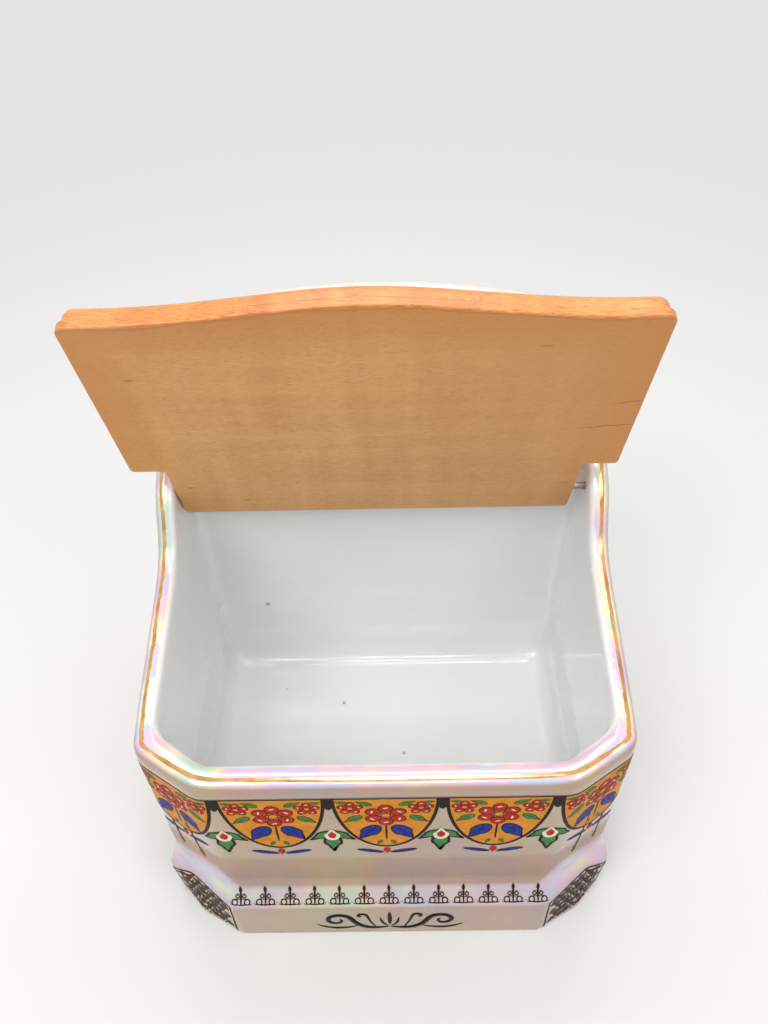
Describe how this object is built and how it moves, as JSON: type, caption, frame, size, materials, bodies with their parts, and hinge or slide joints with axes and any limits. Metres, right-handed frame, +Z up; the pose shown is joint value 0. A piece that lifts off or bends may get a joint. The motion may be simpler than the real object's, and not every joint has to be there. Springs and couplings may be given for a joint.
{
  "type": "salt box with hinged lid",
  "caption": "Glazed ceramic salt box with a tall arched back plate and a notched wooden lid that swings on pins in the side ears; stands on a counter or hangs on a wall.",
  "frame": {"origin": "on the floor, midway between the sides and midway between the front of the foot and the flat back", "axes": "+Z up, -Y out of the open front, +Y towards the wall behind the back plate, +X to the right as seen from the front"},
  "size_m": [0.1449, 0.111, 0.2015],
  "materials": {
    "pearl_glaze": "opaque white ceramic under a glossy mother-of-pearl glaze",
    "lid_wood": "pale beech, bare beneath and varnished orange on its edges and top",
    "pin_metal": "dull brown-grey metal pin"
  },
  "bodies": {
    "box": {"ceramic_box": "pearl_glaze"},
    "lid": {"wooden_lid": "lid_wood", "left_hinge_pin": "pin_metal", "right_hinge_pin": "pin_metal"}
  },
  "joints": [
    {"name": "lid_hinge", "type": "hinge", "parent": "box", "child": "lid", "pos_m": [0, 0.039, 0.1138], "axis": [-1, 0, 0], "range_deg": [-84.2, 24.8]}
  ]
}
